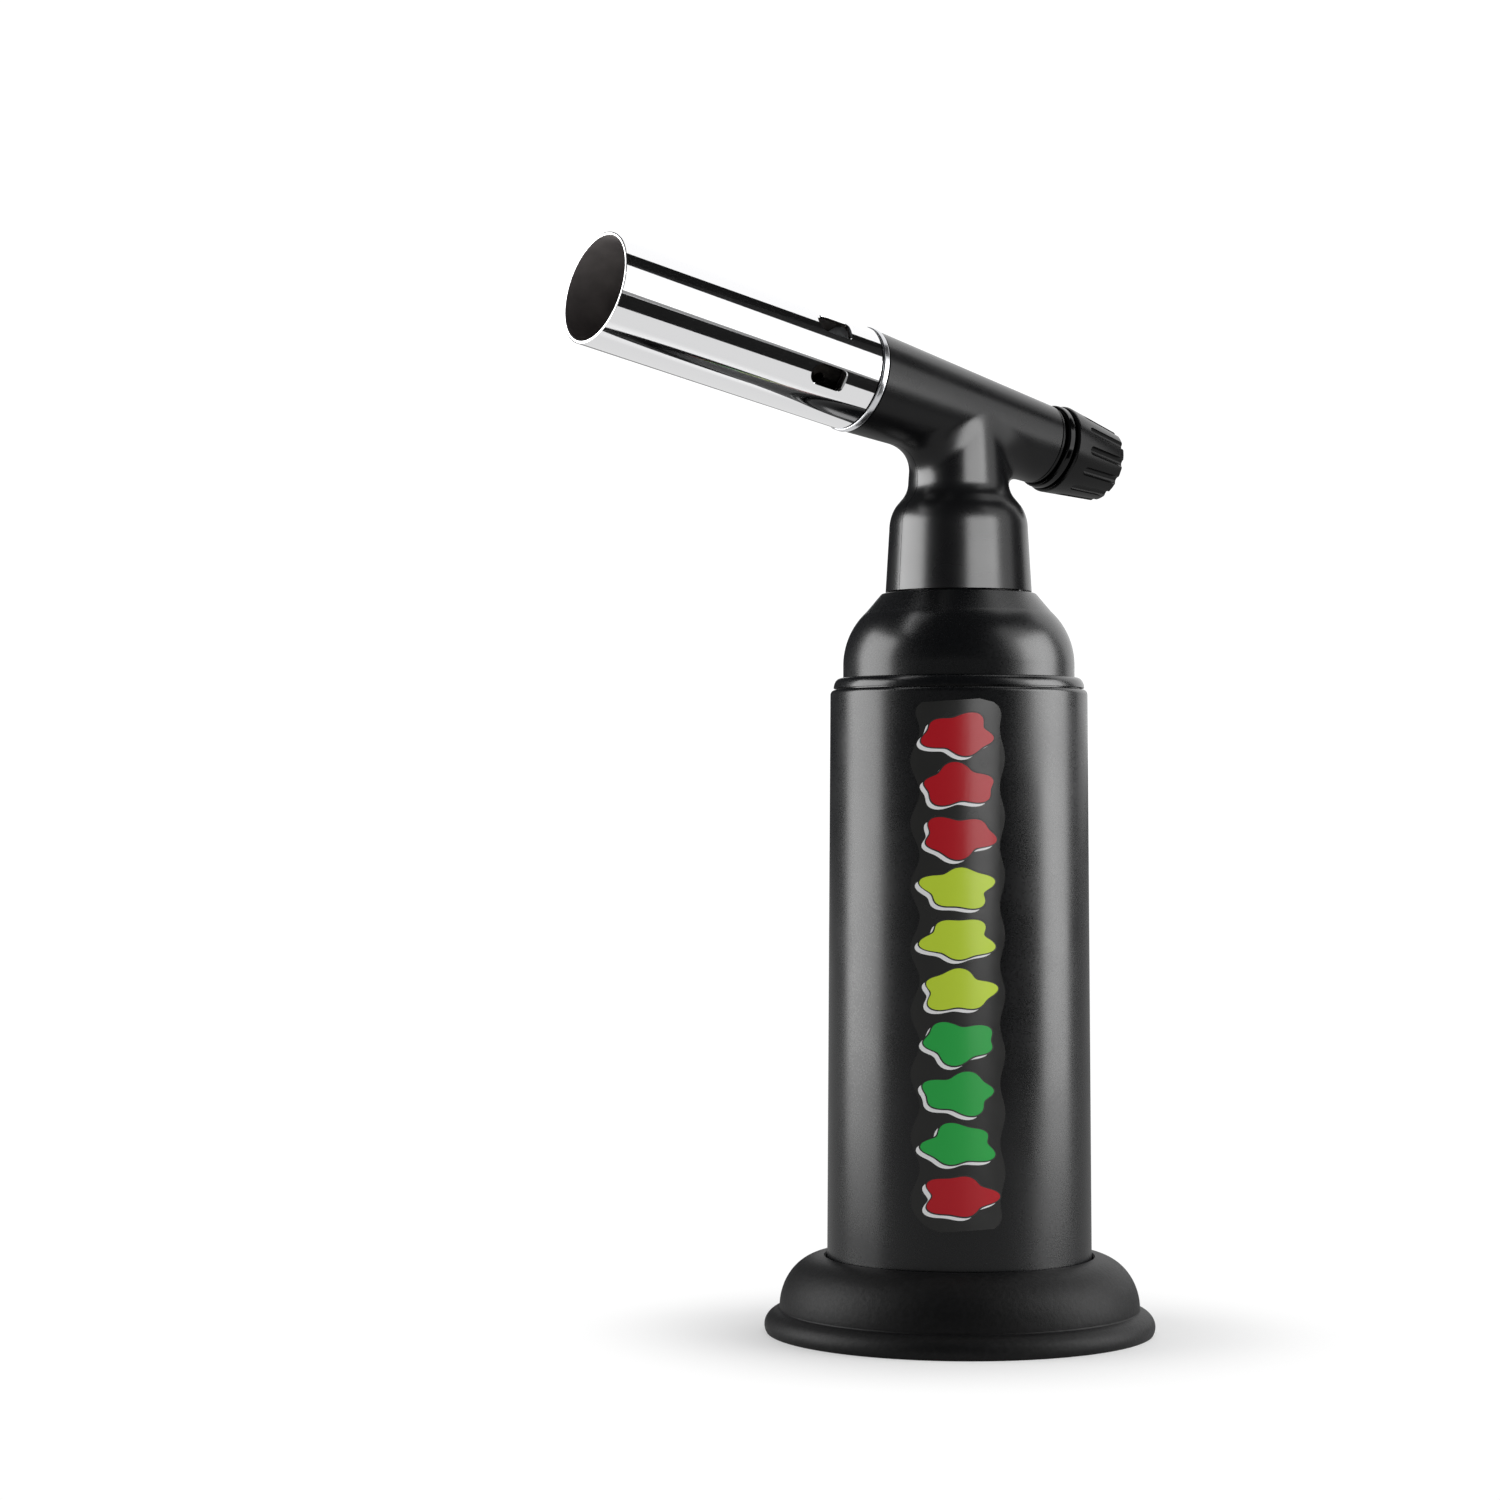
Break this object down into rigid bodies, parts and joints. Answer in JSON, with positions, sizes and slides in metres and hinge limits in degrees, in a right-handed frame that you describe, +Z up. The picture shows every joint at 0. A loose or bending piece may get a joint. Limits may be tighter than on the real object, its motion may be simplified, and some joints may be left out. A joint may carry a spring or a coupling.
{
  "type": "butane torch",
  "caption": "Table-top refillable butane torch: round weighted foot, tall cased gas tank, tilted chromed burner sleeve, fluted flow knob and push-button igniter.",
  "frame": {"origin": "middle of the object's box at the plane it stands on; the tank's axis is 24.3 mm towards +X from it", "axes": "+Z up, -X the way the flame points, +Y the torch's right side, where the igniter button is"},
  "size_m": [0.1273, 0.0786, 0.2151],
  "materials": {
    "foot_rubber": "matte, fine moulded grain",
    "casing_paint": "matte black soft-touch paint",
    "collar_paint": "satin black paint",
    "head_plastic": "satin black moulded plastic",
    "knob_plastic": "satin black moulded plastic",
    "band_gloss": "polished black",
    "sleeve_chrome": "polished chrome plate",
    "ring_aluminium": "turned and polished",
    "socket_zinc": "zinc casting, turned",
    "burner_steel": "heat-darkened steel",
    "tube_steel": "drawn stainless steel",
    "spring_steel": "drawn spring wire",
    "screw_steel": "zinc-plated",
    "valve_brass": "turned brass",
    "tank_nylon": "natural nylon",
    "base_nylon": "black nylon",
    "seal_rubber": "moulded nitrile",
    "label_film": "printed gloss film",
    "ceramic": "glazed ceramic",
    "wick_felt": "felt tube",
    "lead_silicone": "silicone insulation",
    "piezo_case": "moulded plastic"
  },
  "bodies": {
    "torch": {"foot": "foot_rubber", "casing": "casing_paint", "casing_collar": "collar_paint", "shoulder": "casing_paint", "fuel_tank": "tank_nylon", "tank_base": "base_nylon", "refill_valve_body": "valve_brass", "refill_valve_seal": "seal_rubber", "refill_valve_spring": "spring_steel", "outlet_fitting": "valve_brass", "tank_neck_seal": "seal_rubber", "fuel_wick": "wick_felt", "feed_tube": "tube_steel", "label": "label_film", "head_shell_left": "head_plastic", "head_shell_right": "head_plastic", "shell_screw_1": "screw_steel", "shell_screw_2": "screw_steel", "shell_screw_3": "screw_steel", "nozzle_sleeve": "sleeve_chrome", "nozzle_ring": "ring_aluminium", "nozzle_socket": "socket_zinc", "burner_tube": "tube_steel", "burner_plate": "burner_steel", "gas_jet": "valve_brass", "electrode_insulator": "ceramic", "electrode": "tube_steel", "valve_block": "valve_brass", "valve_o_ring": "seal_rubber", "valve_gland": "valve_brass", "knob_band": "band_gloss", "piezo_body": "piezo_case", "piezo_spring": "spring_steel", "ignition_lead": "lead_silicone"},
    "needle": {"valve_needle": "tube_steel"},
    "knob": {"flow_knob": "knob_plastic", "knob_screw": "screw_steel"},
    "igniter": {"igniter_button": "knob_plastic", "piezo_plunger": "tank_nylon"},
    "refill_stem": {"refill_valve_stem": "valve_brass"}
  },
  "joints": [
    {"name": "needle_travel", "type": "slide", "parent": "torch", "child": "needle", "axis": [0.9759, 0, -0.2181], "range_m": [0, 0.0012]},
    {"name": "flow_knob_turn", "type": "hinge", "parent": "needle", "child": "knob", "pos_m": [0.0243, 0, 0.1852], "axis": [0.9759, 0, -0.2181], "range_deg": [0, 541]},
    {"name": "igniter_press", "type": "slide", "parent": "torch", "child": "igniter", "axis": [0, -1, 0], "range_m": [0, 0.0025], "stiffness_N_per_m": 1500, "springref_m": -0.002, "deforming": ["piezo_spring"]},
    {"name": "refill_valve_press", "type": "slide", "parent": "torch", "child": "refill_stem", "axis": [0, 0, 1], "range_m": [0, 0.0018], "stiffness_N_per_m": 900, "springref_m": -0.0015, "deforming": ["refill_valve_spring"]}
  ],
  "couplings": [
    {"joint": "flow_knob_turn", "follows": "needle_travel", "rad_per_m": 7854}
  ]
}
